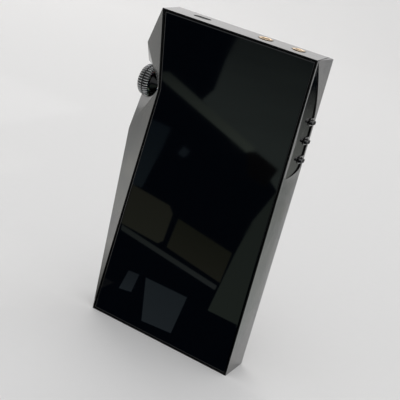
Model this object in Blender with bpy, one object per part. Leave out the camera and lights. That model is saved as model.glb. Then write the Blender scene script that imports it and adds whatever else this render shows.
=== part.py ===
"""Pocket digital audio player with a faceted metal body, a side volume wheel and a full-face cover glass.

Frame: +Z up along the player, its front glass facing -Y, the wheel on -X and the transport buttons on +X.
The origin is at the centre of the base. Sizes below are in millimetres, read as a drawing of the front:
across runs right from the front's upper left corner, deep runs back from the glass, down runs down from
the top.
"""

import math

import bmesh
import bpy
from mathutils import Vector

# Driving dimensions, in millimetres
MM = 0.001
WIDTH = 72.0  # flat front, without wheel and wings
HEIGHT = 141.0
SIDE_DEPTH = 16.4
TOTAL_DEPTH = 17.5
ORIGIN_ACROSS = 32.45  # halfway between the upper wing and the keys
GAP = 0.3  # between neighbouring pieces
WALL = 2.2
RIM = 0.7  # metal showing round the glass
RIM_SINK = 0.1

# Front: the left edge is drawn in to a kink beside the wheel
KINK_ACROSS = 6.5
KINK_DOWN = 33.0
GLASS_THICK = 0.8
GLASS_BEVEL = 0.3
LEDGE_DEEP = 1.7

# Left side: two wings that meet at the wheel, below a corner a little outside the glass's own
TOP_LEFT_ACROSS = -0.45
UPPER_WING = (-8.5, 8.0, 17.2)
LOWER_WING = (-7.8, 8.0, 56.4)
WAIST = (-5.1, 10.2, 30.6)
UPPER_WING_BACK = (-8.5, 11.0, 17.6)
LOWER_WING_BACK = (-7.6, 11.0, 56.4)
WAIST_BACK = (-6.5, 12.0, 31.5)

# Right side: creases of the flat side
TOP_CUT_ACROSS = 69.9
TOP_CUT_DROP = 0.1
LOWER_CREASE_DOWN = 57.5
LOWER_CREASE_SINK = 0.5

# Volume wheel and the round hollow that it sits in
WHEEL_DEEP = 8.25
WHEEL_DOWN = 32.7
WHEEL_RADIUS = 7.0
WHEEL_KNURLS = 36
WHEEL_KNURL_DEPTH = 0.5
WHEEL_OUT = -5.6
NOTCH_RADIUS = 7.7
NOTCH_FLOOR = 6.0
SHAFT_RADIUS = 1.5
BUSHING_RADIUS = 2.6
SHAFT_PLAY = 0.12

# Transport buttons, each on a round-nosed seat that reaches into their hollow
BUTTON_DOWNS = {"previous_button": 26.4, "play_button": 34.6, "next_button": 42.8}
BUTTON_DEEP = 12.7
BUTTON_LENGTH = 3.4
BUTTON_HEIGHT = 1.9
BUTTON_PROUD = 1.4
BUTTON_FLANGE = (0.1, 1.4)
BUTTON_TRAVEL = 0.3
SWITCH_HEIGHT = 1.2
SEAT_RADIUS = 1.6
SEAT_NOSE = 10.5
HOLLOW_FRONT = 0.9
HOLLOW_BACK = 15.2
HOLLOW_DEPTH = 0.55  # at its back edge
HOLLOW_TOP = 0.6
HOLLOW_FULL = 31.0  # where its back edge is furthest back
HOLLOW_CLOSING = 44.0  # where its rounded end starts
HOLLOW_END = 49.8

# Top and bottom openings
POWER_ACROSS = 14.1
POWER_DEEP = 8.9
POWER_LENGTH = 7.6
POWER_WIDTH = 4.0
POWER_SINK = 0.12
POWER_FLANGE = (0.7, 1.0)
SOCKET_DEEP = 9.4
SOCKETS = {
    "headphone_jack": (44.3, 3.0, 1.8, 4.0),
    "balanced_jack": (59.4, 2.75, 1.3, 3.4),
}
SOCKET_LENGTH = 14.0
COLLAR_LENGTH = 1.6
COLLAR_PROUD = 0.3
USB_ACROSS = 36.0
USB_LENGTH = 8.9
USB_WIDTH = 3.2
CARD_ACROSS = 54.5
CARD_LENGTH = 11.6
CARD_WIDTH = 1.3

# Hollow of the body, as seen from the front, clockwise from its upper left corner
CAVITY = [(3.2, 2.2), (69.8, 2.2), (69.8, 138.8), (3.6, 138.8), (9.2, 45.0), (9.2, 22.0)]
REAR_POCKET = [(1.8, 1.6), (70.4, 1.6), (70.4, 139.6), (1.8, 139.6), (7.9, 46.0), (7.9, 21.0)]
REAR_LEDGE_DEEP = 15.0
CROWN_INSETS = [(6.0, 0.75), (13.0, 1.0)]

FRONT_OUTLINE = [
    (0.0, 0.0),
    (WIDTH, 0.0),
    (WIDTH, HEIGHT),
    (0.0, HEIGHT),
    (KINK_ACROSS, KINK_DOWN),
]

AXES = {"across": 0, "deep": 1, "down": 2}


def clear_scene():
    """Remove whatever the file holds."""
    for obj in list(bpy.data.objects):
        bpy.data.objects.remove(obj)


def place(across, deep, down):
    """A drawing position as a point of the frame, in metres."""
    return Vector((across - ORIGIN_ACROSS, deep - TOTAL_DEPTH / 2, HEIGHT - down)) * MM


def material(name, color, roughness, metallic=0.0):
    """A plain Principled material."""
    made = bpy.data.materials.get(name)
    if made is None:
        made = bpy.data.materials.new(name)
        made.use_nodes = True
        shader = made.node_tree.nodes["Principled BSDF"]
        shader.inputs["Base Color"].default_value = (*color, 1.0)
        shader.inputs["Roughness"].default_value = roughness
        shader.inputs["Metallic"].default_value = metallic
    return made


def dark_steel():
    return material("dark_steel", (0.32, 0.32, 0.31), 0.16, 1.0)


def cover_glass():
    return material("cover_glass", (0.006, 0.007, 0.008), 0.05)


def black_plastic():
    return material("black_plastic", (0.015, 0.015, 0.016), 0.5)


def gilt_metal():
    return material("gilt_metal", (0.83, 0.66, 0.42), 0.22, 1.0)


def tinned_steel():
    return material("tinned_steel", (0.62, 0.62, 0.6), 0.3, 1.0)


def circuit_board():
    return material("circuit_board", (0.01, 0.05, 0.03), 0.45)


def battery_wrap():
    return material("battery_wrap", (0.03, 0.03, 0.035), 0.4)


def clear_diffuser():
    return material("clear_diffuser", (0.75, 0.75, 0.74), 0.35)


def black_adhesive():
    return material("black_adhesive", (0.01, 0.01, 0.01), 0.8)


def magnesium():
    return material("magnesium", (0.5, 0.5, 0.5), 0.4, 1.0)


def solid(name, points, faces, look=None):
    """One closed body from drawing positions, with its faces turned outwards."""
    mesh = bpy.data.meshes.new(name)
    mesh.from_pydata([place(*p) for p in points], [], faces)
    shape = bmesh.new()
    shape.from_mesh(mesh)
    bmesh.ops.recalc_face_normals(shape, faces=shape.faces)
    shape.to_mesh(mesh)
    shape.free()
    obj = bpy.data.objects.new(name, mesh)
    bpy.context.scene.collection.objects.link(obj)
    if look is not None:
        mesh.materials.append(look)
    return obj


def loft(name, rings, look=None):
    """Join rings of equal length one after another and close both ends."""
    count = len(rings[0])
    points = [p for ring in rings for p in ring]
    faces = [list(range(count)), list(range(len(points) - count, len(points)))]
    for start in range(0, len(points) - count, count):
        for i in range(count):
            j = (i + 1) % count
            faces.append([start + i, start + j, start + count + j, start + count + i])
    return solid(name, points, faces, look)


def sleeve(name, rings, look=None):
    """Join rings of equal length into a loop, the last one back to the first."""
    count = len(rings[0])
    points = [p for ring in rings for p in ring]
    faces = []
    for start in range(0, len(points), count):
        after = (start + count) % len(points)
        for i in range(count):
            j = (i + 1) % count
            faces.append([start + i, start + j, after + j, after + i])
    return solid(name, points, faces, look)


def along(axis, at, pair):
    """Put a flat pair of numbers on the plane that crosses one drawing axis at a value."""
    p = list(pair)
    p.insert(AXES[axis], at)
    return tuple(p)


def ring(axis, at, outline):
    return [along(axis, at, pair) for pair in outline]


def circle(centre, radius, sides=32):
    """A round outline about a centre, given in the two other drawing axes."""
    turn = 2 * math.pi / sides
    return [
        (centre[0] + radius * math.cos(i * turn), centre[1] + radius * math.sin(i * turn))
        for i in range(sides)
    ]


def pill(centre, length, width, sides=20):
    """A slot outline with round ends, its sizes given along the first and the second of the two axes."""
    radius = min(length, width) / 2
    outline = []
    for i in range(sides):
        angle = 2 * math.pi * (i + 0.5) / sides
        u = math.copysign(length / 2 - radius, math.cos(angle)) + radius * math.cos(angle)
        v = math.copysign(width / 2 - radius, math.sin(angle)) + radius * math.sin(angle)
        outline.append((centre[0] + u, centre[1] + v))
    return outline


def inset(outline, distance):
    """The outline moved inwards by a distance, its corners kept sharp."""
    count = len(outline)
    turn = sum(
        outline[i][0] * outline[(i + 1) % count][1] - outline[(i + 1) % count][0] * outline[i][1]
        for i in range(count)
    )
    side = distance if turn > 0 else -distance
    moved = []
    for i in range(count):
        before, here, after = outline[i - 1], outline[i], outline[(i + 1) % count]
        d0 = (Vector(here) - Vector(before)).normalized()
        d1 = (Vector(after) - Vector(here)).normalized()
        n0 = Vector((-d0.y, d0.x))
        n1 = Vector((-d1.y, d1.x))
        corner = (n0 + n1) / (1 + n0.dot(n1)) * side
        moved.append((here[0] + corner.x, here[1] + corner.y))
    return moved


def slab(name, axis, start, end, outline, look=None):
    """A straight prism of an outline between two values of one drawing axis."""
    return loft(name, [ring(axis, start, outline), ring(axis, end, outline)], look)


def block(name, across, deep, down, look=None):
    """A box between pairs of limits."""
    outline = [
        (across[0], down[0]),
        (across[1], down[0]),
        (across[1], down[1]),
        (across[0], down[1]),
    ]
    return slab(name, "deep", deep[0], deep[1], outline, look)


def tube(name, axis, start, end, outer, inner, look=None):
    """A straight sleeve between an outer and an inner outline."""
    rings = [
        ring(axis, start, outer),
        ring(axis, end, outer),
        ring(axis, end, inner),
        ring(axis, start, inner),
    ]
    return sleeve(name, rings, look)


def combine(obj, other, operation):
    """Cut or join with another mesh, which is kept as a hidden guide."""
    other.hide_render = True
    other.display_type = "WIRE"
    change = obj.modifiers.new(other.name, "BOOLEAN")
    change.operation = operation
    change.solver = "EXACT"
    change.object = other


def cut(obj, *cutters):
    for cutter in cutters:
        combine(obj, cutter, "DIFFERENCE")


def join(obj, *others):
    for other in others:
        combine(obj, other, "UNION")


def shade_round(obj, angle=35):
    """Smooth shading with the sharp corners kept."""
    obj.data.shade_smooth()
    obj.data.set_sharp_from_angle(angle=math.radians(angle))


def set_origin(obj, across, deep, down):
    """Move the object's origin to a drawing position and leave its shape where it is."""
    origin = place(across, deep, down)
    for vertex in obj.data.vertices:
        vertex.co -= origin
    obj.location = origin


def faceted_body():
    """The outer form: a flat front, top and right side, and a left side of triangular facets."""
    points = {
        "top_left": (TOP_LEFT_ACROSS, RIM_SINK, 0.0),
        "top_right": (WIDTH, RIM_SINK, 0.0),
        "low_right": (WIDTH, RIM_SINK, HEIGHT),
        "low_left": (0.0, RIM_SINK, HEIGHT),
        "kink": (KINK_ACROSS, RIM_SINK, KINK_DOWN),
        "upper_wing": UPPER_WING,
        "waist": WAIST,
        "lower_wing": LOWER_WING,
        "upper_wing_back": UPPER_WING_BACK,
        "waist_back": WAIST_BACK,
        "lower_wing_back": LOWER_WING_BACK,
        "back_top_left": (-2.0, SIDE_DEPTH, 0.0),
        "back_top_cut": (TOP_CUT_ACROSS, SIDE_DEPTH, 0.0),
        "back_top_right": (WIDTH, SIDE_DEPTH, TOP_CUT_DROP),
        "back_lower_crease": (WIDTH, SIDE_DEPTH, LOWER_CREASE_DOWN),
        "back_low_right": (WIDTH - LOWER_CREASE_SINK, SIDE_DEPTH, HEIGHT),
        "back_low_left": (-1.0, SIDE_DEPTH, HEIGHT),
        "back_kink": (KINK_ACROSS, SIDE_DEPTH, WHEEL_DOWN),
    }
    facets = [
        "top_left top_right low_right low_left kink",
        "top_left top_right back_top_cut back_top_left",
        "top_right back_top_right back_top_cut",
        "top_right low_right back_lower_crease back_top_right",
        "low_right back_low_right back_lower_crease",
        "low_left low_right back_low_right back_low_left",
        "top_left kink upper_wing",
        "upper_wing kink waist",
        "kink low_left lower_wing",
        "kink lower_wing waist",
        "top_left upper_wing back_top_left",
        "back_top_left upper_wing upper_wing_back",
        "upper_wing waist upper_wing_back",
        "waist waist_back upper_wing_back",
        "waist lower_wing waist_back",
        "lower_wing lower_wing_back waist_back",
        "back_top_left upper_wing_back back_kink",
        "upper_wing_back waist_back back_kink",
        "waist_back lower_wing_back back_kink",
        "lower_wing_back back_low_left back_kink",
        "lower_wing low_left back_low_left",
        "lower_wing back_low_left lower_wing_back",
        "back_top_left back_kink back_low_left back_low_right back_lower_crease back_top_right back_top_cut",
    ]
    names = list(points)
    faces = [[names.index(word) for word in facet.split()] for facet in facets]
    return solid("body_shell", list(points.values()), faces, dark_steel())


def hollow_back(down):
    """Where the back edge of the hollow lies: it opens like a wedge, waves round the seats and closes."""
    opening = math.sin(min(down / HOLLOW_FULL, 1.0) * math.pi / 2)
    ending = max((down - HOLLOW_CLOSING) / (HOLLOW_END - HOLLOW_CLOSING), 0.0)
    back = HOLLOW_FRONT + (HOLLOW_BACK - HOLLOW_FRONT) * opening * math.sqrt(1 - ending**3)
    for centre in BUTTON_DOWNS.values():
        offset = abs(down - centre)
        if offset < SEAT_RADIUS:
            back = min(back, SEAT_NOSE + SEAT_RADIUS - math.sqrt(SEAT_RADIUS**2 - offset**2))
    return back


def hollow_downs():
    """Heights of the hollow's sections, closer together round the seats and at its closed end."""
    seat_angles = range(-75, 76, 15)
    downs = []
    for centre in BUTTON_DOWNS.values():
        downs += [centre + SEAT_RADIUS * math.sin(math.radians(angle)) for angle in seat_angles]
        downs += [centre - SEAT_RADIUS - 0.1, centre + SEAT_RADIUS + 0.1]
    first, last = min(downs), max(downs)
    steps = 12
    for i in range(steps):
        angle = math.pi / 2 * i / steps
        downs.append(HOLLOW_TOP + (first - HOLLOW_TOP) * i / steps)
        downs.append(last + (HOLLOW_END - last) * math.sin(angle))
    return sorted(set(downs))


def button_hollow_cutter():
    """The shallow hollow on the right side: its floor falls from the front edge to a step at the back."""
    outside = 0.4
    slope = HOLLOW_DEPTH / (HOLLOW_BACK - HOLLOW_FRONT)
    start = HOLLOW_FRONT - outside / slope
    rings = []
    for down in hollow_downs():
        back = hollow_back(down)
        rings.append(
            [
                (WIDTH + outside, start, down),
                (WIDTH - (back - HOLLOW_FRONT) * slope, back, down),
                (WIDTH + 2.0, back, down),
                (WIDTH + 2.0, start, down),
            ]
        )
    return loft("hollow_cutter", rings)


def socket_cutters():
    """Round holes in the top wall, and the slots in the top and bottom walls."""
    cutters = []
    for name, (across, radius, _, _) in SOCKETS.items():
        hole = circle((across, SOCKET_DEEP), radius + GAP)
        cutters.append(slab(name + "_hole", "down", -1.0, WALL + 1.0, hole))
    slots = [
        ("power_slot", POWER_ACROSS, POWER_DEEP, POWER_LENGTH, POWER_WIDTH, -1.0, WALL + 1.0),
        ("usb_slot", USB_ACROSS, SOCKET_DEEP, USB_LENGTH, USB_WIDTH, HEIGHT - WALL - 1.0, HEIGHT + 1.0),
        ("card_slot", CARD_ACROSS, SOCKET_DEEP, CARD_LENGTH, CARD_WIDTH, HEIGHT - WALL - 1.0, HEIGHT + 1.0),
    ]
    for name, across, deep, length, width, start, end in slots:
        outline = pill((across, deep), length + 2 * GAP, width + 2 * GAP)
        cutters.append(slab(name, "down", start, end, outline))
    return cutters


def make_body_shell():
    shell = faceted_body()
    cut(shell, slab("glass_pocket", "deep", -1.0, LEDGE_DEEP, inset(FRONT_OUTLINE, RIM)))
    cut(shell, slab("cavity", "deep", -2.0, SIDE_DEPTH + 1.0, CAVITY))
    cut(shell, slab("rear_pocket", "deep", REAR_LEDGE_DEEP, SIDE_DEPTH + 2.0, REAR_POCKET))
    notch = circle((WHEEL_DEEP, WHEEL_DOWN), NOTCH_RADIUS, 48)
    cut(shell, slab("wheel_notch", "across", -14.0, NOTCH_FLOOR, notch))
    bore = circle((WHEEL_DEEP, WHEEL_DOWN), BUSHING_RADIUS + GAP)
    cut(shell, slab("bushing_bore", "across", NOTCH_FLOOR - 1.0, 12.0, bore))
    cut(shell, button_hollow_cutter())
    for name, down in BUTTON_DOWNS.items():
        outline = pill((BUTTON_DEEP, down), BUTTON_LENGTH + 2 * GAP, BUTTON_HEIGHT + 2 * GAP)
        cut(shell, slab(name + "_hole", "across", WIDTH - WALL - 1.0, WIDTH + 1.0, outline))
    cut(shell, *socket_cutters())
    return shell


def make_front_glass():
    """Cover glass with a ground edge all round."""
    outline = inset(FRONT_OUTLINE, RIM + GAP)
    face = inset(outline, GLASS_BEVEL)
    rings = [
        ring("deep", GLASS_THICK, outline),
        ring("deep", GLASS_BEVEL / 2, outline),
        ring("deep", 0.0, face),
    ]
    loft("front_glass", rings, cover_glass())
    outer = inset(FRONT_OUTLINE, RIM + 2 * GAP)
    inner = [
        (3.2, 2.2),
        (69.8, 2.2),
        (69.8, 138.8),
        (3.6, 138.8),
        (9.2, KINK_DOWN),
    ]
    tube("glass_adhesive", "deep", GLASS_THICK + 0.2, LEDGE_DEEP - 0.2, outer, inner, black_adhesive())


def make_display():
    panel = [(9.8, 13.0), (69.2, 13.0), (69.2, 127.0), (9.8, 127.0)]
    slab("display_panel", "deep", 1.1, 2.1, panel, cover_glass())
    slab("display_backlight", "deep", 2.4, 3.4, inset(panel, 0.5), clear_diffuser())
    flex = block("display_flex", (34.0, 46.0), (2.5, 2.8), (127.4, 133.0), circuit_board())
    join(flex, block("flex_fold", (34.0, 46.0), (2.5, 3.4), (132.4, 133.2)))


STANDOFFS = [(18.6, 19.2), (65.6, 19.2), (18.6, 63.6), (65.6, 63.6)]
BOARD_DEEP = (8.0, 9.0)


def make_midframe():
    """Plate behind the display, with four standoffs that carry the main board."""
    plate = slab("midframe", "deep", 3.7, 4.5, inset(CAVITY, GAP), magnesium())
    window = block("flex_window", (32.0, 48.0), (3.0, 5.0), (133.6, 136.6))
    cut(plate, window)
    for i, centre in enumerate(STANDOFFS):
        join(plate, slab(f"standoff_{i}", "deep", 4.1, BOARD_DEEP[0] - GAP, circle(centre, 2.0, 16)))
        cut(plate, slab(f"standoff_hole_{i}", "deep", 4.9, 9.0, circle(centre, 0.95, 12)))


def make_main_board():
    board = block("main_board", (16.4, 68.2), BOARD_DEEP, (17.0, 66.0), circuit_board())
    for i, centre in enumerate(STANDOFFS):
        cut(board, slab(f"board_hole_{i}", "deep", 7.0, 10.0, circle(centre, 1.0, 12)))
    shields = [
        ("processor_shield", (24.0, 42.0), (5.0, 7.7), (24.0, 44.0)),
        ("converter_shield", (45.0, 62.5), (5.0, 7.7), (24.0, 58.0)),
        ("amplifier_shield", (30.0, 62.0), (9.3, 12.2), (22.0, 52.0)),
    ]
    for name, across, deep, down in shields:
        shield = block(name, across, deep, down, tinned_steel())
        rounding = shield.modifiers.new("rounding", "BEVEL")
        rounding.width = 0.4 * MM
        rounding.segments = 1
    for i, centre in enumerate(STANDOFFS):
        rings = [
            ring("deep", 5.4, circle(centre, 0.6, 10)),
            ring("deep", 9.3, circle(centre, 0.6, 10)),
            ring("deep", 9.3, circle(centre, 1.3, 10)),
            ring("deep", 9.9, circle(centre, 1.2, 10)),
        ]
        loft(f"board_screw_{i + 1}", rings, tinned_steel())


def make_battery():
    block("battery", (22.0, 66.0), (4.9, 10.4), (70.0, 128.5), battery_wrap())
    block("battery_connector", (40.0, 48.0), (9.3, 10.6), (60.0, 64.5), black_plastic())
    block("wireless_antenna", (8.0, 28.0), (5.0, 5.4), (134.0, 138.2), circuit_board())


def knurled(radius, depth, sides):
    """A ribbed outline: flat-topped ribs with a groove between each two."""
    outline = []
    for i in range(sides):
        for share, level in ((0.0, radius), (0.5, radius), (0.75, radius - depth)):
            angle = 2 * math.pi * (i + share) / sides
            outline.append(
                (WHEEL_DEEP + level * math.cos(angle), WHEEL_DOWN + level * math.sin(angle))
            )
    return outline


def make_volume_wheel():
    """Crown: a slightly dished face, a ribbed rim, and a smooth cone down to the hub."""
    depth = WHEEL_KNURL_DEPTH
    bands = [
        (WHEEL_OUT + 0.4, 4.7, 0.0),
        (WHEEL_OUT, 5.1, 0.0),
        (WHEEL_OUT, 6.0, 0.0),
        (WHEEL_OUT + 0.5, 6.6, depth),
        (WHEEL_OUT + 1.2, WHEEL_RADIUS - 0.1, depth),
        (WHEEL_OUT + 2.7, WHEEL_RADIUS, depth),
        (WHEEL_OUT + 4.2, WHEEL_RADIUS - 0.1, depth),
        (WHEEL_OUT + 4.9, 6.6, depth),
        (WHEEL_OUT + 5.4, 6.0, 0.0),
        (WHEEL_OUT + 5.4, 4.6, 0.0),
        (4.5, 3.5, 0.0),
    ]
    rings = [ring("across", at, knurled(radius, groove, WHEEL_KNURLS)) for at, radius, groove in bands]
    wheel = loft("volume_wheel", rings, dark_steel())
    bore = circle((WHEEL_DEEP, WHEEL_DOWN), SHAFT_RADIUS + GAP, 24)
    cut(wheel, slab("wheel_bore", "across", -2.5, 6.0, bore))
    set_origin(wheel, WHEEL_OUT, WHEEL_DEEP, WHEEL_DOWN)


def make_wheel_drive():
    """Shaft, bushing, light ring and the encoder that reads the shaft."""
    centre = (WHEEL_DEEP, WHEEL_DOWN)
    shaft = slab("wheel_shaft", "across", -2.1, 14.6, circle(centre, SHAFT_RADIUS, 24), tinned_steel())
    shade_round(shaft)
    set_origin(shaft, -2.1, WHEEL_DEEP, WHEEL_DOWN)
    inner = circle(centre, SHAFT_RADIUS + SHAFT_PLAY, 24)
    outer = circle(centre, BUSHING_RADIUS, 24)
    shade_round(tube("wheel_bushing", "across", NOTCH_FLOOR - 0.6, 10.2, outer, inner, gilt_metal()))
    outer = circle(centre, 6.6, 40)
    inner = circle(centre, 5.0, 40)
    end = NOTCH_FLOOR - GAP
    shade_round(tube("wheel_light_ring", "across", end - 0.6, end, outer, inner, clear_diffuser()))
    reach = (WHEEL_DOWN - 4.2, WHEEL_DOWN + 4.2)
    encoder = block("wheel_encoder", (10.6, 15.6), (4.9, 11.6), reach, black_plastic())
    cut(encoder, slab("encoder_bore", "across", 9.0, 15.0, circle(centre, SHAFT_RADIUS + GAP, 24)))


def stepped_pill(name, axis, centre, size, flange, levels, look):
    """A slot-shaped key: a flange on its inner end, wider by a pair of sizes, and a softened outer edge."""
    length, width = size
    wide = pill(centre, length + flange[0], width + flange[1])
    shank = pill(centre, length, width)
    face = pill(centre, length - 0.5, width - 0.5)
    rings = [
        ring(axis, levels[0], wide),
        ring(axis, levels[1], wide),
        ring(axis, levels[1], shank),
        ring(axis, levels[2], shank),
        ring(axis, levels[3], face),
    ]
    key = loft(name, rings, look)
    shade_round(key)
    return key


def make_transport_buttons():
    """Three keys in the right side, their switches and the small board behind."""
    inside = WIDTH - WALL
    levels = (inside - 0.9, inside - GAP, WIDTH + BUTTON_PROUD - 0.25, WIDTH + BUTTON_PROUD)
    size = (BUTTON_LENGTH, BUTTON_HEIGHT)
    switch_end = levels[0] - BUTTON_TRAVEL - GAP
    for name, down in BUTTON_DOWNS.items():
        centre = (BUTTON_DEEP, down)
        key = stepped_pill(name, "across", centre, size, BUTTON_FLANGE, levels, dark_steel())
        set_origin(key, levels[3], BUTTON_DEEP, down)
        block(
            name.replace("button", "switch"),
            (switch_end - SWITCH_HEIGHT, switch_end),
            (BUTTON_DEEP - 1.6, BUTTON_DEEP + 1.6),
            (down - 1.6, down + 1.6),
            black_plastic(),
        )
    board_end = switch_end - SWITCH_HEIGHT - GAP
    block("button_board", (board_end - 0.6, board_end), (9.6, 14.0), (22.0, 46.2), circuit_board())


def make_power_button():
    """Key in the top wall with its switch and board below."""
    centre = (POWER_ACROSS, POWER_DEEP)
    levels = (WALL + 0.9, WALL + GAP, POWER_SINK + 0.25, POWER_SINK)
    size = (POWER_LENGTH, POWER_WIDTH)
    key = stepped_pill("power_button", "down", centre, size, POWER_FLANGE, levels, dark_steel())
    set_origin(key, POWER_ACROSS, POWER_DEEP, levels[3])
    top = levels[0] + BUTTON_TRAVEL + GAP
    block(
        "power_switch",
        (POWER_ACROSS - 1.8, POWER_ACROSS + 1.8),
        (POWER_DEEP - 1.6, POWER_DEEP + 1.6),
        (top, top + SWITCH_HEIGHT),
        black_plastic(),
    )
    block(
        "power_board",
        (POWER_ACROSS - 5.0, POWER_ACROSS + 5.0),
        (POWER_DEEP - 2.4, POWER_DEEP + 2.4),
        (top + SWITCH_HEIGHT + GAP, top + SWITCH_HEIGHT + GAP + 0.6),
        circuit_board(),
    )


def make_sockets():
    """Two round sockets in the top wall, each a gilt collar over a moulded body."""
    for name, (across, radius, bore_radius, half) in SOCKETS.items():
        centre = (across, SOCKET_DEEP)
        outer = circle(centre, radius)
        bore = circle(centre, bore_radius)
        lip = circle(centre, radius - 0.25)
        mouth = circle(centre, bore_radius + 0.35)
        rings = [
            ring("down", COLLAR_LENGTH, outer),
            ring("down", 0.2 - COLLAR_PROUD, outer),
            ring("down", -COLLAR_PROUD, lip),
            ring("down", -COLLAR_PROUD, mouth),
            ring("down", 0.4 - COLLAR_PROUD, bore),
            ring("down", COLLAR_LENGTH, bore),
        ]
        shade_round(sleeve(name + "_collar", rings, gilt_metal()))
        body = block(
            name + "_body",
            (across - half, across + half),
            (SOCKET_DEEP - 3.4, SOCKET_DEEP + 3.4),
            (WALL + GAP, SOCKET_LENGTH),
            black_plastic(),
        )
        cut(body, slab(name + "_bore", "down", 0.0, SOCKET_LENGTH - 1.5, bore))


def make_bottom_sockets():
    """Charging socket and memory card socket at the base."""
    centre = (USB_ACROSS, SOCKET_DEEP)
    outer = pill(centre, USB_LENGTH, USB_WIDTH)
    inner = pill(centre, USB_LENGTH - 0.6, USB_WIDTH - 0.6)
    rings = [
        ring("down", HEIGHT - 7.4, outer),
        ring("down", HEIGHT - 0.2, outer),
        ring("down", HEIGHT - 0.2, inner),
        ring("down", HEIGHT - 6.9, inner),
    ]
    shade_round(loft("usb_shell", rings, tinned_steel()))
    block(
        "usb_tongue",
        (USB_ACROSS - 3.2, USB_ACROSS + 3.2),
        (SOCKET_DEEP - 0.35, SOCKET_DEEP + 0.35),
        (HEIGHT - 6.6, HEIGHT - 0.9),
        black_plastic(),
    )
    socket = block(
        "card_socket",
        (CARD_ACROSS - 7.0, CARD_ACROSS + 7.0),
        (SOCKET_DEEP - 1.6, SOCKET_DEEP + 1.6),
        (HEIGHT - 8.6 - WALL, HEIGHT - WALL - GAP),
        tinned_steel(),
    )
    mouth = block(
        "card_mouth",
        (CARD_ACROSS - 5.6, CARD_ACROSS + 5.6),
        (SOCKET_DEEP - 0.5, SOCKET_DEEP + 0.5),
        (HEIGHT - 7.8 - WALL, HEIGHT),
    )
    cut(socket, mouth)


def make_rear_cover():
    """Back plate that rises in two soft steps to a flat middle, on its adhesive frame."""
    outline = inset(REAR_POCKET, GAP)
    rings = [ring("deep", REAR_LEDGE_DEEP + 3 * GAP, outline), ring("deep", SIDE_DEPTH - 0.1, outline)]
    crown = TOTAL_DEPTH - SIDE_DEPTH
    for distance, share in CROWN_INSETS:
        rings.append(ring("deep", SIDE_DEPTH + crown * share, inset(outline, distance)))
    loft("rear_cover", rings, cover_glass())
    outer = inset(REAR_POCKET, 2 * GAP)
    inner = inset(CAVITY, 0.4)
    tube(
        "rear_adhesive",
        "deep",
        REAR_LEDGE_DEEP + 0.2,
        REAR_LEDGE_DEEP + 3 * GAP - 0.2,
        outer,
        inner,
        black_adhesive(),
    )


def main():
    clear_scene()
    make_body_shell()
    make_front_glass()
    make_display()
    make_midframe()
    make_main_board()
    make_battery()
    make_volume_wheel()
    make_wheel_drive()
    make_transport_buttons()
    make_power_button()
    make_sockets()
    make_bottom_sockets()
    make_rear_cover()


main()
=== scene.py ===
"""Looks of a pocket digital audio player: faceted dark steel body, black cover glass, knurled wheel.

Profiles and key sizes are in millimetres, everything on the stage is in metres.
"""

import math

import bmesh
import bpy
from mathutils import Matrix, Vector


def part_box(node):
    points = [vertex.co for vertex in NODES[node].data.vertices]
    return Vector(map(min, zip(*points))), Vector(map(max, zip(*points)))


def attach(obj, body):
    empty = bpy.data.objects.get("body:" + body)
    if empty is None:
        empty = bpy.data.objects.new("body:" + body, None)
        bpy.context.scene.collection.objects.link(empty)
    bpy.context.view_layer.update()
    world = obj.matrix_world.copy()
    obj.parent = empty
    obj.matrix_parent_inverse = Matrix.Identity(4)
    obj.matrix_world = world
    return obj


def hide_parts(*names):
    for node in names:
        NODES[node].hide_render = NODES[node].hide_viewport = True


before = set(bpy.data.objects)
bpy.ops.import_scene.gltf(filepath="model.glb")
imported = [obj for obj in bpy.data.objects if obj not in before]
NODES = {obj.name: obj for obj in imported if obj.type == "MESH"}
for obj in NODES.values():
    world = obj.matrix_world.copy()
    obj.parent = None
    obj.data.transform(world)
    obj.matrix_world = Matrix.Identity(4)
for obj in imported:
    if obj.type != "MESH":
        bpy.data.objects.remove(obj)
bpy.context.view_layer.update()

MM = 0.001

# The camera's place in metres and its angles in degrees
CAMERA_PLACE = Vector((0.16967, -0.35482, 0.19651))
CAMERA_AZIMUTH = 25.263
CAMERA_ELEVATION = 18.36
CAMERA_ROLL = 14.926
CAMERA_LENS = 86.03

# The shell's limits, taken from the frame
SHELL_LOW, SHELL_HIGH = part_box("body_shell")

# Where the shell's special faces lie, in millimetres and square millimetres
GLASS_SEAT_DEPTH = 1.65
HOLLOW_REACH = 2.4
HOLLOW_FACE_LIMIT = 900
WHEEL_HOLLOW_RADIUS = 8.2
CORNER_WIDTH = 2.0
CORNER_DEPTH = 0.5
CREASE_WIDTH = 0.25

# The keys' hollow in metres: its lowest point, and its near and far sides
HOLLOW_BOTTOM = 0.0905
HOLLOW_NEAR, HOLLOW_FAR = -0.0082, 0.0073

# Material slots of the body shell, in their order; rim is the near-black glass seat and also painted shade
# on the hollows' walls, hollow and corner are darker steel as painted shade, and matt is painted shade
# along a crease
BODY_LOOKS = ("steel", "edge", "rim", "hollow", "corner", "matt")
STEEL, EDGE, RIM_AND_RECESS_SHADE, HOLLOW_SHADE, CORNER_SHADE, MATT_CREASE_SHADE = range(len(BODY_LOOKS))

# The wheel's knurl: ribs round it, steps in each, and how square their shoulders are
WHEEL_KNURLS = 36
WHEEL_STEPS = 10
RIB_STEEPNESS = 2.0
RIB_START = 0.8

# The plain groove between the wheel's two bands, in millimetres from its face
WHEEL_GROOVE = (2.47, 3.03)


# ---------------------------------------------------------------- materials


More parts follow.
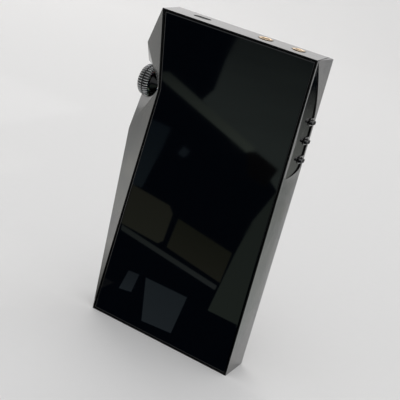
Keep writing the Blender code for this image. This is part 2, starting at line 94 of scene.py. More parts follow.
class Paint:
    """One material's nodes, with short calls for the patterns used here."""

    def __init__(self, name, color, roughness, metallic=0.0):
        self.material = bpy.data.materials.new(name)
        self.material.use_nodes = True
        self.tree = self.material.node_tree
        self.shader = self.tree.nodes["Principled BSDF"]
        self.shader.inputs["Metallic"].default_value = metallic
        self.set("Base Color", (*color, 1.0))
        self.set("Roughness", roughness)
        self.coordinates = self.node("ShaderNodeTexCoord").outputs["Object"]

    def node(self, kind, **values):
        made = self.tree.nodes.new(kind)
        for key, value in values.items():
            setattr(made, key, value)
        return made

    def set(self, socket, value):
        self.shader.inputs[socket].default_value = value

    def wire(self, output, socket):
        self.tree.links.new(output, socket)

    def to(self, socket, output):
        self.wire(output, self.shader.inputs[socket])

    def stretched(self, stretch, turn=(0.0, 0.0, 0.0)):
        """Object coordinates squeezed along each axis."""
        mapping = self.node("ShaderNodeMapping")
        self.wire(self.coordinates, mapping.inputs["Vector"])
        mapping.inputs["Scale"].default_value = stretch
        mapping.inputs["Rotation"].default_value = turn
        return mapping.outputs["Vector"]

    def noise(self, scale, detail=3.0, stretch=None, distortion=0.0, roughness=0.5):
        made = self.node("ShaderNodeTexNoise")
        made.inputs["Scale"].default_value = scale
        made.inputs["Detail"].default_value = detail
        made.inputs["Roughness"].default_value = roughness
        made.inputs["Distortion"].default_value = distortion
        self.wire(self.stretched(stretch) if stretch else self.coordinates, made.inputs["Vector"])
        return made.outputs["Fac"]

    def cells(self, scale, feature="F1", stretch=None):
        made = self.node("ShaderNodeTexVoronoi", feature=feature)
        made.inputs["Scale"].default_value = scale
        self.wire(self.stretched(stretch) if stretch else self.coordinates, made.inputs["Vector"])
        return made

    def span(self, value, low, high, to_low=0.0, to_high=1.0):
        """Map a range of a value onto another, held at its ends."""
        made = self.node("ShaderNodeMapRange")
        self.wire(value, made.inputs["Value"])
        for key, number in zip(("From Min", "From Max", "To Min", "To Max"), (low, high, to_low, to_high)):
            made.inputs[key].default_value = number
        return made.outputs["Result"]

    def math(self, operation, first, second):
        made = self.node("ShaderNodeMath", operation=operation)
        for socket, value in zip(made.inputs, (first, second)):
            if isinstance(value, (int, float)):
                socket.default_value = value
            else:
                self.wire(value, socket)
        return made.outputs["Value"]

    def blend(self, factor, first, second):
        made = self.node("ShaderNodeMix", data_type="RGBA")
        self.wire(factor, made.inputs["Factor"])
        for socket, value in ((made.inputs[6], first), (made.inputs[7], second)):
            if isinstance(value, tuple):
                socket.default_value = (*value, 1.0)
            else:
                self.wire(value, socket)
        return made.outputs[2]

    def bump(self, height, distance, strength=1.0):
        made = self.node("ShaderNodeBump")
        made.inputs["Distance"].default_value = distance
        made.inputs["Strength"].default_value = strength
        self.wire(height, made.inputs["Height"])
        self.to("Normal", made.outputs["Normal"])


def polished_steel(name, tone, roughness):
    """Dark coated steel: faint clouding, polishing marks along its length and a few handling smears."""
    paint = Paint(name, (tone, tone, tone), roughness, 1.0)
    cloud = paint.noise(70.0, 3.0, distortion=0.4)
    marks = paint.noise(2600.0, 2.0, stretch=(1.0, 1.0, 0.035))
    smear = paint.noise(38.0, 4.0, distortion=1.6)
    warm = (tone * 1.03, tone * 1.02, tone)
    cool = (tone * 0.9, tone * 0.91, tone * 0.92)
    paint.to("Base Color", paint.blend(paint.span(cloud, 0.35, 0.65), cool, warm))
    rough = paint.span(marks, 0.3, 0.7, roughness - 0.02, roughness + 0.03)
    haze = paint.span(smear, 0.52, 0.72, 0.0, 0.09)
    paint.to("Roughness", paint.math("ADD", rough, haze))
    paint.bump(marks, 0.00001, 0.06)
    return paint.material


def worn_edge():
    """Where the coating thins along an edge."""
    paint = Paint("worn_edge", (0.3, 0.3, 0.29), 0.22, 1.0)
    patch = paint.noise(420.0, 3.0)
    paint.to("Base Color", paint.blend(paint.span(patch, 0.45, 0.7), (0.22, 0.22, 0.215), (0.4, 0.4, 0.39)))
    paint.to("Roughness", paint.span(patch, 0.3, 0.7, 0.16, 0.3))
    return paint.material


def black_glass(name, color, haze_high):
    """Black-backed glass: finger haze in soft patches and a few specks of dust."""
    paint = Paint(name, color, 0.04)
    paint.set("IOR", 1.5)
    haze = paint.noise(24.0, 5.0, distortion=1.2)
    prints = paint.noise(260.0, 2.0, distortion=2.0)
    soft = paint.span(haze, 0.5, 0.75, 0.0, haze_high)
    ridged = paint.math("MULTIPLY", soft, paint.span(prints, 0.35, 0.65, 0.6, 1.2))
    dust = paint.cells(260.0)
    keep = paint.span(dust.outputs["Color"], 0.93, 0.94)
    dot = paint.math("MULTIPLY", paint.span(dust.outputs["Distance"], 0.05, 0.03), keep)
    smooth = paint.math("ADD", ridged, 0.035)
    paint.to("Roughness", paint.math("ADD", smooth, paint.math("MULTIPLY", dot, 0.6)))
    paint.to("Base Color", paint.blend(dot, color, (0.35, 0.35, 0.34)))
    return paint.material


def gilt():
    """Gold plate with turning marks."""
    paint = Paint("gilt", (0.86, 0.64, 0.4), 0.24, 1.0)
    tarnish = paint.noise(500.0, 3.0)
    paint.to("Base Color", paint.blend(paint.span(tarnish, 0.35, 0.7), (0.9, 0.7, 0.46), (0.74, 0.5, 0.3)))
    paint.to("Roughness", paint.span(tarnish, 0.3, 0.7, 0.18, 0.32))
    paint.bump(paint.noise(5200.0, 1.0, stretch=(1.0, 1.0, 0.2)), 0.00001, 0.2)
    return paint.material


def moulded_black(name="moulded_black"):
    """Fine-grained black plastic."""
    paint = Paint(name, (0.014, 0.014, 0.015), 0.5)
    grain = paint.noise(3800.0, 2.0)
    paint.to("Roughness", paint.span(grain, 0.3, 0.7, 0.42, 0.6))
    paint.bump(grain, 0.00003, 0.3)
    return paint.material


def gasket_black():
    """Matt black elastomer in the joint lines."""
    paint = Paint("gasket_black", (0.006, 0.006, 0.006), 0.75)
    grain = paint.noise(2600.0, 2.0)
    paint.to("Roughness", paint.span(grain, 0.3, 0.7, 0.65, 0.9))
    return paint.material


def matt_black(name, tone, sheen):
    """Etched black finish with little sheen."""
    paint = Paint(name, (tone, tone, tone), 0.5)
    paint.set("Specular IOR Level", sheen)
    grain = paint.noise(3000.0, 2.0)
    paint.to("Roughness", paint.span(grain, 0.3, 0.7, 0.4, 0.6))
    paint.bump(grain, 0.00002, 0.2)
    return paint.material


def diffuser():
    """Milky light-spreading plastic."""
    paint = Paint("diffuser", (0.72, 0.72, 0.71), 0.35)
    paint.set("Subsurface Weight", 0.4)
    paint.set("Subsurface Scale", 0.001)
    grain = paint.noise(900.0, 2.0)
    paint.to("Roughness", paint.span(grain, 0.3, 0.7, 0.3, 0.45))
    return paint.material


def tinned():
    """Bright tinned sheet."""
    paint = Paint("tinned", (0.6, 0.6, 0.58), 0.3, 1.0)
    grain = paint.noise(700.0, 3.0)
    paint.to("Base Color", paint.blend(paint.span(grain, 0.35, 0.65), (0.5, 0.5, 0.49), (0.66, 0.66, 0.64)))
    paint.to("Roughness", paint.span(grain, 0.3, 0.7, 0.24, 0.4))
    return paint.material


def board_green():
    """Solder mask with faint copper runs below."""
    paint = Paint("board_green", (0.008, 0.045, 0.028), 0.4)
    runs = paint.cells(600.0, feature="DISTANCE_TO_EDGE")
    line = paint.span(runs.outputs["Distance"], 0.05, 0.09)
    paint.to("Base Color", paint.blend(line, (0.02, 0.09, 0.05), (0.008, 0.04, 0.026)))
    paint.to("Roughness", paint.span(paint.noise(900.0), 0.3, 0.7, 0.35, 0.5))
    return paint.material


def alloy():
    """Bead-blasted light alloy."""
    paint = Paint("alloy", (0.48, 0.48, 0.47), 0.42, 1.0)
    grain = paint.noise(3000.0, 2.0)
    paint.to("Roughness", paint.span(grain, 0.3, 0.7, 0.36, 0.5))
    paint.bump(grain, 0.00003, 0.3)
    return paint.material


def make_materials():
    return {
        "steel": polished_steel("dark_steel", 0.24, 0.12),
        # painted shade: a darker copy of the dark steel for the shallow facet at the top's right corner
        "corner": polished_steel("corner_steel_painted_shade", 0.09, 0.14),
        # painted shade: a darker copy of the dark steel for the floor of the keys' hollow
        "hollow": polished_steel("hollow_steel_painted_shade", 0.2, 0.04),
        "wheel": polished_steel("wheel_steel", 0.4, 0.2),
        "key": polished_steel("key_steel", 0.14, 0.1),
        # painted shade: near-black for the outer end faces of the transport keys
        "key_end": matt_black("key_end_painted_shade", 0.012, 0.22),
        # black hub, also used as painted shade in the wheel's grooves
        "matt": matt_black("matt_black", 0.05, 0.03),
        "hub": polished_steel("hub_black_and_groove_shade", 0.04, 0.2),
        "edge": worn_edge(),
        # near-black steel for the glass seat, also painted shade on the walls of the wheel hollow and the
        # keys' hollow
        "rim": polished_steel("rim_black_and_recess_shade", 0.012, 0.25),
        "glass": black_glass("front_black_glass", (0.0004, 0.0006, 0.0009), 0.03),
        "rear": black_glass("rear_black_glass", (0.004, 0.004, 0.0045), 0.07),
        "display": black_glass("display_black", (0.004, 0.004, 0.006), 0.03),
        "gilt": gilt(),
        "plastic": moulded_black(),
        "gasket": gasket_black(),
        "wrap": moulded_black("battery_wrap"),
        "diffuser": diffuser(),
        "tinned": tinned(),
        "board": board_green(),
        "alloy": alloy(),
    }


# ---------------------------------------------------------------- mesh helpers


def new_piece(name, shape, looks, body, smooth_angle=30.0, flat_faces=False):
    """Finish a bmesh as a shown piece that rides on a body; its large faces can be kept truly flat."""
    mesh = bpy.data.meshes.new(name)
    bmesh.ops.recalc_face_normals(shape, faces=shape.faces)
    shape.to_mesh(mesh)
    shape.free()
    for look in looks:
        mesh.materials.append(look)
    mesh.shade_smooth()
    mesh.set_sharp_from_angle(angle=math.radians(smooth_angle))
    piece = bpy.data.objects.new(name, mesh)
    bpy.context.scene.collection.objects.link(piece)
    if flat_faces:
        weighting = piece.modifiers.new("flat_faces", "WEIGHTED_NORMAL")
        weighting.weight = 100
        weighting.keep_sharp = True
    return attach(piece, body)


def ring_loft(rings, closed_ends=True, looped=False):
    """A bmesh through rings of equal length."""
    shape = bmesh.new()
    rows = [[shape.verts.new(p) for p in ring] for ring in rings]
    count = len(rows[0])
    pairs = list(zip(rows, rows[1:]))
    if looped:
        pairs.append((rows[-1], rows[0]))
    for low, high in pairs:
        for i in range(count):
            j = (i + 1) % count
            shape.faces.new((low[i], low[j], high[j], high[i]))
    if closed_ends and not looped:
        shape.faces.new(rows[0])
        shape.faces.new(rows[-1])
    return shape


def turned(centre, axis, profile, sides=64):
    """Rings about an axis: the profile is pairs of radius and distance along it, in millimetres."""
    axis = Vector(axis).normalized()
    first = axis.orthogonal().normalized()
    second = axis.cross(first)
    rings = []
    for radius, distance in profile:
        ring = []
        for i in range(sides):
            angle = 2 * math.pi * i / sides
            spoke = first * math.cos(angle) + second * math.sin(angle)
            ring.append(centre + (spoke * radius + axis * distance) * MM)
        rings.append(ring)
    return rings


def pill_outline(length, width, sides=48):
    """A slot outline about zero, its sizes along the first and the second direction."""
    radius = min(length, width) / 2
    outline = []
    for i in range(sides):
        angle = 2 * math.pi * (i + 0.5) / sides
        u = math.copysign(length / 2 - radius, math.cos(angle)) + radius * math.cos(angle)
        v = math.copysign(width / 2 - radius, math.sin(angle)) + radius * math.sin(angle)
        outline.append((u, v))
    return outline


def cleaned_copy(node):
    """A bmesh of a CAD node with shared corner points and whole flat faces."""
    shape = bmesh.new()
    shape.from_mesh(NODES[node].data)
    bmesh.ops.remove_doubles(shape, verts=shape.verts, dist=0.000002)
    bmesh.ops.dissolve_limit(shape, angle_limit=math.radians(0.4), verts=shape.verts, edges=shape.edges)
    return shape


def soften_edges(shape, width, segments=2, angle=18.0, slot=EDGE, choose=None):
    """Round the outer corners of a bmesh, in millimetres, and give the new faces a material slot."""
    edges = [
        e
        for e in shape.edges
        if len(e.link_faces) == 2
        and e.is_convex
        and e.calc_face_angle(0.0) > math.radians(angle)
        and (choose is None or choose(e))
    ]
    bmesh.ops.bevel(
        shape,
        geom=edges,
        offset=width * MM,
        offset_type="OFFSET",
        segments=segments,
        profile=0.5,
        affect="EDGES",
        clamp_overlap=True,
        material=slot,
    )


# ---------------------------------------------------------------- pieces


def in_keys_hollow(point):
    """Whether a point lies inside the hollow that the transport keys stand in."""
    outer = point.x > SHELL_HIGH.x - HOLLOW_REACH * MM
    return outer and point.z > HOLLOW_BOTTOM and HOLLOW_NEAR < point.y < HOLLOW_FAR


def is_in_hollow(face):
    """Whether a face of the shell is a wall or the floor of the keys' hollow."""
    middle = face.calc_center_median()
    below = middle.x < SHELL_HIGH.x - 0.01 * MM
    small = face.calc_area() < HOLLOW_FACE_LIMIT * MM * MM
    return below and small and all(in_keys_hollow(v.co) for v in face.verts)


def faces_wheel(face, middle):
    """Whether a face of the shell is a wall or the floor of the round hollow behind the wheel."""
    reach = face.calc_center_median() - middle
    reach.x = 0.0
    wall = abs(face.normal.x) < 0.1 and face.normal.dot(reach) < -0.9 * reach.length
    floor = face.normal.x < -0.99
    return reach.length < WHEEL_HOLLOW_RADIUS * MM and (wall or floor)


def crease_edges(shape):
    """A narrow line of painted shade along the shallow crease at the top's right corner."""
    edges = []
    for edge in shape.edges:
        slots = sorted(face.material_index for face in edge.link_faces)
        if slots == [STEEL, CORNER_SHADE] and all(face.normal.z > 0.9 for face in edge.link_faces):
            edges.append(edge)
    bmesh.ops.bevel(
        shape,
        geom=edges,
        offset=CREASE_WIDTH * MM,
        offset_type="OFFSET",
        segments=1,
        affect="EDGES",
        material=MATT_CREASE_SHADE,
    )


def at_top_corner(face):
    """Whether a face of the shell is the shallow facet at the top's right corner."""
    centre = face.calc_center_median()
    right = centre.x > SHELL_HIGH.x - CORNER_WIDTH * MM
    return face.normal.z > 0.9 and right and centre.z > SHELL_HIGH.z - CORNER_DEPTH * MM


def make_body(look):
    """The faceted shell: softened corners, a dark seat, painted shade in the wheel hollow and the keys'
    hollow, and painted shade on the top's right corner facet and its crease.
    """
    shape = cleaned_copy("body_shell")
    low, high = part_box("volume_wheel")
    middle = (low + high) / 2
    for face in shape.faces:
        seat = all(v.co.y < SHELL_LOW.y + GLASS_SEAT_DEPTH * MM for v in face.verts)
        # the glass seat is near-black, and the wheel hollow's walls and floor are painted near-black as
        # painted shade
        if seat or faces_wheel(face, middle):
            face.material_index = RIM_AND_RECESS_SHADE
        # painted shade: the keys' hollow gets a darker steel on its floor and near-black on its walls
        elif is_in_hollow(face):
            face.material_index = HOLLOW_SHADE if face.normal.x > 0.9 else RIM_AND_RECESS_SHADE
        # painted shade: the shallow facet at the top's right corner takes a darker steel
        elif at_top_corner(face):
            face.material_index = CORNER_SHADE
    crease_edges(shape)
    soften_edges(shape, 0.08, choose=lambda edge: not any(in_keys_hollow(v.co) for v in edge.verts))
    looks = [look[name] for name in BODY_LOOKS]
    body = new_piece("body_shell_finished", shape, looks, "case", 30.0, True)
    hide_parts("body_shell")


def make_glass(look):
    """Cover glass whose ground edge rolls over in small steps."""
    shape = cleaned_copy("front_glass")
    soften_edges(shape, 0.12, segments=3, slot=0)
    glass = new_piece("cover_glass_finished", shape, [look["glass"]], "case", 30.0, True)
    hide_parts("front_glass")


def make_rear_cover(look):
    shape = cleaned_copy("rear_cover")
    soften_edges(shape, 0.3, segments=3, angle=1.0, slot=0)
    cover = new_piece("rear_cover_finished", shape, [look["rear"]], "case", 30.0, True)
    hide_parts("rear_cover")


def wheel_ring(centre, across, radius, depth):
    """One ring of the wheel: square-shouldered ribs of a depth, in millimetres."""
    ring = []
    count = WHEEL_KNURLS * WHEEL_STEPS
    for i in range(count):
        angle = 2 * math.pi * i / count
        wave = 0.5 + 0.5 * math.sin(angle * WHEEL_KNURLS)
        level = radius - depth * (1 - min(max(RIB_STEEPNESS * wave - RIB_START, 0.0), 1.0))
        ring.append(centre + Vector((across, level * math.cos(angle), level * math.sin(angle))) * MM)
    return ring


def groove_radius(bands, across):
    """The radius below which a point of the rim, at a distance from the wheel's face, lies in a groove."""
    for (start, radius_0, depth_0), (end, radius_1, depth_1) in zip(bands, bands[1:]):
        if start <= across <= end and end > start:
            share = (across - start) / (end - start)
            depth = depth_0 + (depth_1 - depth_0) * share
            return radius_0 + (radius_1 - radius_0) * share - max(depth, 0.1) * 0.55
    return 0.0


def make_wheel(look):
    """Knurled crown: a dished face, two ribbed bands with a plain groove between, and a dark hub; the
    groove bottoms of the knurl and the plain groove are painted black as painted shade.
    """
    low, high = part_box("volume_wheel")
    centre = Vector((low.x, (low.y + high.y) / 2, (low.z + high.z) / 2))
    bands = [
        (0.42, 0.2, 0.0),
        (0.42, 4.5, 0.0),
        (0.3, 4.75, 0.0),
        (0.03, 5.0, 0.0),
        (0.0, 5.15, 0.0),
        (0.0, 5.8, 0.0),
        (0.06, 6.05, 0.0),
        (0.25, 6.35, 0.3),
        (0.55, 6.65, 0.5),
        (1.0, 6.86, 0.55),
        (1.7, 6.95, 0.55),
        (2.45, 6.98, 0.55),
        (2.5, 6.9, 0.1),
        (2.55, 6.8, 0.0),
        (2.95, 6.8, 0.0),
        (3.0, 6.9, 0.1),
        (3.05, 6.98, 0.55),
        (3.6, 6.95, 0.55),
        (4.3, 6.86, 0.55),
        (4.85, 6.65, 0.5),
        (5.15, 6.35, 0.3),
        (5.3, 6.05, 0.0),
        (5.4, 5.7, 0.0),
        (5.4, 4.7, 0.0),
    ]
    shape = ring_loft([wheel_ring(centre, *band) for band in bands])
    # painted shade: the bottoms of the knurl grooves and the plain groove between the bands take the black
    # hub material
    for face in shape.faces:
        middle = face.calc_center_median() - centre
        radius = Vector((middle.y, middle.z)).length / MM
        grooved = face.normal.x > -0.5 and 5.9 < radius < groove_radius(bands, middle.x / MM)
        between = WHEEL_GROOVE[0] * MM < middle.x < WHEEL_GROOVE[1] * MM
        if grooved or between:
            face.material_index = 1
    wheel = new_piece("volume_wheel_finished", shape, [look["wheel"], look["hub"]], "wheel", 38.0)
    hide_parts("volume_wheel")
    profile = [(4.7, 5.38), (4.62, 5.5), (4.3, 5.9), (3.6, 9.9), (3.5, 10.05), (1.7, 10.05)]
    hub = new_piece(
        "volume_wheel_hub", ring_loft(turned(centre, (1, 0, 0), profile)), [look["hub"]], "wheel"
    )


def key_rings(centre, across_way, up_way, out_way, length, width, levels):
    """Rings of a slot-shaped key: levels are pairs of inset and distance outwards, in millimetres."""
    rings = []
    for inset, distance in levels:
        outline = pill_outline(length - 2 * inset, width - 2 * inset)
        rings.append(
            [centre + (across_way * u + up_way * v + out_way * distance) * MM for u, v in outline]
        )
    return rings


def rounded_top(height, radius, steps=5):
    """Levels of a key's shank that ends in a quarter-round edge."""
    levels = [(0.0, 0.0)]
    for i in range(steps + 1):
        angle = math.pi / 2 * i / steps
        levels.append((radius * (1 - math.cos(angle)), height - radius + radius * math.sin(angle)))
    levels.append((radius + 0.25, height))
    return levels


def make_key(node, body, ways, flange, edge_radius, looks):
    """A key with a rolled edge; its flange is wider than its shank by a pair of sizes."""
    out_way, long_way, short_way = (Vector(way) for way in ways)
    low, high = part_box(node)
    size = (high - low) / MM
    height = size.dot(out_way)
    inner = (low + high) / 2 - out_way * height / 2 * MM
    wide = (size.dot(long_way), size.dot(short_way))
    frame_of_key = (inner, long_way, short_way, out_way)
    rings = key_rings(*frame_of_key, *wide, [(0.0, 0.0), (0.0, 0.6)])
    levels = [(0.0, 0.6)] + rounded_top(height, edge_radius)[1:]
    rings += key_rings(*frame_of_key, wide[0] - flange[0], wide[1] - flange[1], levels)
    shape = ring_loft(rings)
    # the outer end face takes the second look, which on the transport keys is near-black as painted shade
    for face in shape.faces:
        if face.calc_center_median().dot(out_way) > inner.dot(out_way) + (height - 0.01) * MM:
            face.material_index = 1
    key = new_piece(node + "_finished", shape, looks, body, 40.0)
    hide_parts(node)


def make_keys(look):
    across, deep, up = (1, 0, 0), (0, 1, 0), (0, 0, 1)
    looks = [look["key"], look["key_end"]]
    for name in ("previous", "play", "next"):
        make_key(name + "_button", name + "_key", (across, deep, up), (0.1, 1.4), 0.3, looks)
    looks = [look["matt"], look["matt"]]
    make_key("power_button", "power_key", (up, across, deep), (0.7, 1.0), 0.35, looks)


def make_socket(node, bore_radius, look):
    """A gilt collar with a rolled lip outside, a rounded mouth inside, a black outer wall, and a bore
    painted black below its mouth as painted shade.
    """
    lip, mouth, steps = 0.3, 0.45, 6
    low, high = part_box(node + "_collar")
    radius = (high.x - low.x) / 2 / MM
    depth = (high.z - low.z) / MM
    centre = Vector(((low.x + high.x) / 2, (low.y + high.y) / 2, high.z))
    profile = [(radius, -depth), (radius, -lip)]
    for i in range(steps + 1):
        angle = math.pi / 2 * i / steps
        profile.append((radius - lip + lip * math.cos(angle), -lip + lip * math.sin(angle)))
    rim = bore_radius + mouth
    for i in range(steps + 1):
        angle = math.pi / 2 * i / steps
        profile.append((rim - mouth * math.sin(angle), -mouth + mouth * math.cos(angle)))
    profile.append((bore_radius, -depth))
    shape = ring_loft(turned(centre, (0, 0, 1), profile), looped=True)
    # the outer wall is painted black, and below the mouth the gilt bore is painted black as painted shade
    for face in shape.faces:
        middle = face.calc_center_median() - centre
        outside = Vector((middle.x, middle.y)).length > (radius - 0.1) * MM
        if outside or middle.z < -0.25 * MM:
            face.material_index = 1
    collar = new_piece(node + "_collar_finished", shape, [look["gilt"], look["plastic"]], "case", 40.0)
    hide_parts(node + "_collar")


def dress_frame(look):
    """Better materials on the CAD nodes that stay."""
    chosen = {
        "glass_adhesive": "gasket",
        "rear_adhesive": "gasket",
        "display_panel": "display",
        "display_backlight": "diffuser",
        "display_flex": "board",
        "midframe": "alloy",
        "main_board": "board",
        "processor_shield": "tinned",
        "converter_shield": "tinned",
        "amplifier_shield": "tinned",
        "battery": "wrap",
        "battery_connector": "plastic",
        "wireless_antenna": "board",
        "button_board": "board",
        "previous_switch": "plastic",
        "play_switch": "plastic",
        "next_switch": "plastic",
        "power_board": "board",
        "power_switch": "plastic",
        "wheel_encoder": "plastic",
        "wheel_bushing": "gilt",
        "wheel_light_ring": "diffuser",
        "wheel_shaft": "tinned",
        "usb_shell": "tinned",
        "usb_tongue": "plastic",
        "card_socket": "tinned",
        "headphone_jack_body": "plastic",
        "balanced_jack_body": "plastic",
    }
    for i in range(4):
        chosen[f"board_screw_{i + 1}"] = "tinned"
    for node, name in chosen.items():
        slots = NODES[node].material_slots
        if not slots:
            NODES[node].data.materials.append(look[name])
        for slot in slots:
            slot.material = look[name]


# ---------------------------------------------------------------- stage


def stage_mesh(name, points, faces, material):
    mesh = bpy.data.meshes.new(name)
    mesh.from_pydata(points, [], faces)
    mesh.materials.append(material)
    mesh.shade_smooth()
    obj = bpy.data.objects.new(name, mesh)
    bpy.context.scene.collection.objects.link(obj)
    return obj


def paper():
    """Pale seamless paper."""
    paint = Paint("paper", (0.74, 0.73, 0.72), 0.85)
    tooth = paint.noise(220.0, 3.0)
    paint.to("Base Color", paint.blend(tooth, (0.735, 0.725, 0.712), (0.75, 0.738, 0.727)))
    return paint.material


def make_sweep():
    """A floor that curves up into the background."""
    half, near, far, radius = 3.0, -3.0, 0.9, 0.6
    profile = [(near, 0.0), (far, 0.0)]
    for i in range(1, 17):
        angle = math.pi / 2 * i / 16
        profile.append((far + radius * math.sin(angle), radius * (1 - math.cos(angle))))
    profile.append((far + radius, 3.0))
    points = [(x, y, z) for y, z in profile for x in (-half, half)]
    faces = [(2 * i, 2 * i + 1, 2 * i + 3, 2 * i + 2) for i in range(len(profile) - 1)]
    turn = Matrix.Rotation(math.radians(CAMERA_AZIMUTH), 4, "Z")
    points = [turn @ Vector(p) for p in points]
    return stage_mesh("paper_sweep", points, faces, paper())


def area_light(name, place_at, target, size, power, color=(1.0, 1.0, 1.0)):
    data = bpy.data.lights.new(name, "AREA")
    data.shape = "RECTANGLE"
    data.size, data.size_y = size
    data.energy = power
    data.color = color
    lamp = bpy.data.objects.new(name, data)
    bpy.context.scene.collection.objects.link(lamp)
    lamp.location = place_at
    lamp.rotation_mode = "QUATERNION"
    lamp.rotation_quaternion = (Vector(target) - Vector(place_at)).to_track_quat("-Z", "Y")
    lamp.visible_camera = False
    return lamp


def make_lights():
    world = bpy.data.worlds.new("studio")
    bpy.context.scene.world = world
    world.use_nodes = True
    world.node_tree.nodes["Background"].inputs["Color"].default_value = (0.95, 0.97, 1.0, 1.0)
    world.node_tree.nodes["Background"].inputs["Strength"].default_value = 0.62
    middle = (0.0, 0.0, 0.07)
    area_light("window", (-0.9, 1.1, 0.85), middle, (1.2, 0.9), 7.4, (1.0, 0.99, 0.98))
    area_light("ceiling", (0.2, -0.2, 1.8), middle, (1.6, 1.6), 11.6)


def glow(name, axis, low, high, tone_low, tone_high):
    """A soft emission that runs from one tone to another between two values of x or y."""
    paint = Paint(name, (0.0, 0.0, 0.0), 1.0)
    paint.set("Specular IOR Level", 0.0)
    parts = paint.node("ShaderNodeSeparateXYZ")
    paint.wire(paint.coordinates, parts.inputs["Vector"])
    ripple = paint.span(paint.noise(9.0, 2.0), 0.3, 0.7, -0.06, 0.06)
    share = paint.math("ADD", paint.span(parts.outputs[axis], low, high), ripple)
    paint.to("Emission Color", paint.blend(share, tone_low, tone_high))
    paint.set("Emission Strength", 1.0)
    return paint.material


def card(name, corners, light, height):
    """A flat card that shows in reflections only."""
    points = [(x, y, height) if len(rest) == 0 else (x, y, rest[0]) for x, y, *rest in corners]
    made = stage_mesh("card_" + name, points, [tuple(range(len(points)))], light)
    made.visible_camera = False
    made.visible_diffuse = False
    made.visible_shadow = False
    made.visible_transmission = False


# Height of the lowest card above the floor, and of each card above the one before, in metres
CARD_LIFT = 0.0004
CARD_STEP = 0.0001

# What the front glass looks out on, from the floor plan of a dim workroom: corners and two tones along y
ROOM = [
    (
        "dim_floor",
        [(-0.036, -0.0105), (-0.9, -1.4), (0.6, -1.6), (0.16, -0.0105)],
        (0.008, 0.015, 0.032),
        (0.01, 0.017, 0.035),
    ),
    (
        "back_wall",
        [
            (-0.43, -0.92),
            (-0.3, -1.1),
            (0.0, -0.9),
            (0.02, -0.5),
            (-0.063, -0.277),
            (-0.117, -0.344),
            (-0.226, -0.449),
            (-0.245, -0.507),
            (-0.322, -0.674),
        ],
        (0.065, 0.075, 0.08),
        (0.33, 0.4, 0.37),
    ),
    (
        "side_wall",
        [
            (-0.063, -0.277),
            (0.02, -0.5),
            (0.06, -0.056),
            (0.003, -0.057),
            (-0.024, -0.137),
            (-0.044, -0.2),
        ],
        (0.17, 0.21, 0.19),
        (0.24, 0.3, 0.25),
    ),
    (
        "shelf_edge",
        [(-0.304, -0.5), (-0.301, -0.51), (-0.123, -0.36), (-0.119, -0.338), (-0.285, -0.468)],
        (0.17, 0.205, 0.185),
        (0.46, 0.55, 0.46),
    ),
    (
        "cabinet",
        [(-0.205, -0.328), (-0.184, -0.324), (-0.159, -0.272), (-0.114, -0.174), (-0.13, -0.172)],
        (0.06, 0.09, 0.12),
        (0.1, 0.14, 0.17),
    ),
    (
        "lamp",
        [(-0.152, -0.292), (-0.142, -0.284), (-0.136, -0.265), (-0.144, -0.269)],
        (0.12, 0.16, 0.2),
        (0.12, 0.16, 0.2),
    ),
    (
        "chair",
        [(-0.121, -0.341), (-0.118, -0.351), (-0.086, -0.327), (-0.071, -0.273), (-0.091, -0.283)],
        (0.03, 0.025, 0.025),
        (0.02, 0.02, 0.025),
    ),
    (
        "carton_left",
        [
            (-0.12, -0.172),
            (-0.086, -0.164),
            (-0.077, -0.153),
            (-0.057, -0.11),
            (-0.057, -0.104),
            (-0.085, -0.108),
        ],
        (0.2, 0.2, 0.145),
        (0.24, 0.25, 0.18),
    ),
    (
        "carton_right",
        [(-0.071, -0.15), (-0.025, -0.135), (-0.009, -0.091), (-0.051, -0.104)],
        (0.13, 0.14, 0.09),
        (0.2, 0.2, 0.14),
    ),
    (
        "board_edge",
        [(-0.083, -0.106), (-0.008, -0.086), (-0.006, -0.08), (-0.079, -0.099)],
        (0.2, 0.24, 0.22),
        (0.28, 0.32, 0.32),
    ),
    (
        "case_small",
        [(-0.045, -0.057), (-0.039, -0.058), (-0.03, -0.037), (-0.036, -0.035)],
        (0.16, 0.2, 0.24),
        (0.22, 0.28, 0.33),
    ),
    (
        "case_large",
        [(-0.035, -0.058), (-0.01, -0.058), (0.005, -0.018), (-0.01, -0.016)],
        (0.2, 0.26, 0.3),
        (0.24, 0.3, 0.35),
    ),
]


def make_room_cards():
    """The dim room before the player."""
    for i, (name, corners, far_tone, near_tone) in enumerate(ROOM):
        depths = [y for x, y in corners]
        light = glow(name, "Y", min(depths), max(depths), far_tone, near_tone)
        card(name, corners, light, CARD_LIFT + CARD_STEP * i)


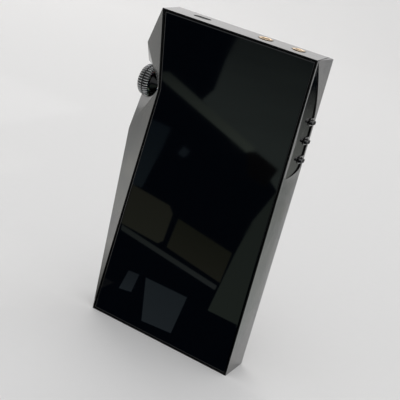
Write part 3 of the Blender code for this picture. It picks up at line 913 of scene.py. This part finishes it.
def make_side_cards():
    """Soft shades and lights beside and behind the player that model its facets."""
    behind = glow("behind_dark", "Y", 0.34, 0.7, (0.25, 0.26, 0.245), (0.003, 0.005, 0.007))
    corners = [(0.05, 0.3), (0.14, 0.3), (0.172, 0.42), (0.23, 0.585), (0.275, 0.75), (0.32, 0.9)]
    corners += [(0.4, 1.2), (0.05, 1.2)]
    card("behind", corners, behind, CARD_LIFT)
    beside = glow("beside_shade", "Y", 0.03, 0.22, (0.6, 0.62, 0.6), (0.34, 0.36, 0.34))
    corners = [(0.045, 0.0), (0.06, 0.07), (0.0935, 0.165), (0.143, 0.3), (0.22, 0.3), (0.11, 0.0)]
    card("beside", corners, beside, CARD_LIFT)
    left = glow("left_shade", "X", -0.42, -0.17, (0.46, 0.46, 0.45), (0.78, 0.78, 0.75))
    card("left", [(-0.8, -0.06), (-0.17, -0.06), (-0.17, 0.13), (-0.8, 0.13)], left, CARD_LIFT)
    foot = glow("left_foot", "X", -0.12, -0.05, (0.75, 0.75, 0.73), (0.2, 0.2, 0.19))
    card("left_foot", [(-0.125, -0.04), (-0.042, -0.04), (-0.042, 0.02), (-0.125, 0.02)], foot, CARD_LIFT)
    strip = glow("left_light", "Y", 0.15, 0.26, (1.0, 1.0, 1.0), (1.15, 1.15, 1.15))
    card("left_light", [(-0.42, 0.15), (-0.24, 0.15), (-0.24, 0.27), (-0.42, 0.27)], strip, CARD_LIFT)
    sky = glow("far_light", "X", -0.65, -0.35, (0.9, 0.89, 0.885), (0.8, 0.79, 0.79))
    card("far", [(-1.1, 1.0, 0.14), (0.0, 1.0, 0.14), (0.0, 1.0, 0.7), (-1.1, 1.0, 0.7)], sky, CARD_LIFT)


def make_camera():
    data = bpy.data.cameras.new("camera")
    data.lens = CAMERA_LENS
    data.sensor_width = 36.0
    data.clip_start = 0.01
    camera = bpy.data.objects.new("camera", data)
    bpy.context.scene.collection.objects.link(camera)
    azimuth, elevation = math.radians(CAMERA_AZIMUTH), math.radians(CAMERA_ELEVATION)
    back = Vector(
        (
            math.sin(azimuth) * math.cos(elevation),
            -math.cos(azimuth) * math.cos(elevation),
            math.sin(elevation),
        )
    )
    level = (-back).to_track_quat("-Z", "Y")
    roll = Matrix.Rotation(math.radians(CAMERA_ROLL), 4, "Z").to_quaternion()
    camera.rotation_mode = "QUATERNION"
    camera.rotation_quaternion = level @ roll
    camera.location = CAMERA_PLACE
    bpy.context.scene.camera = camera


def main():
    bpy.context.scene.view_settings.view_transform = "Standard"
    make_camera()
    make_sweep()
    make_lights()
    make_room_cards()
    make_side_cards()
    look = make_materials()
    dress_frame(look)
    make_body(look)
    make_glass(look)
    make_rear_cover(look)
    make_wheel(look)
    make_keys(look)
    make_socket("headphone_jack", 1.8, look)
    make_socket("balanced_jack", 1.3, look)


main()
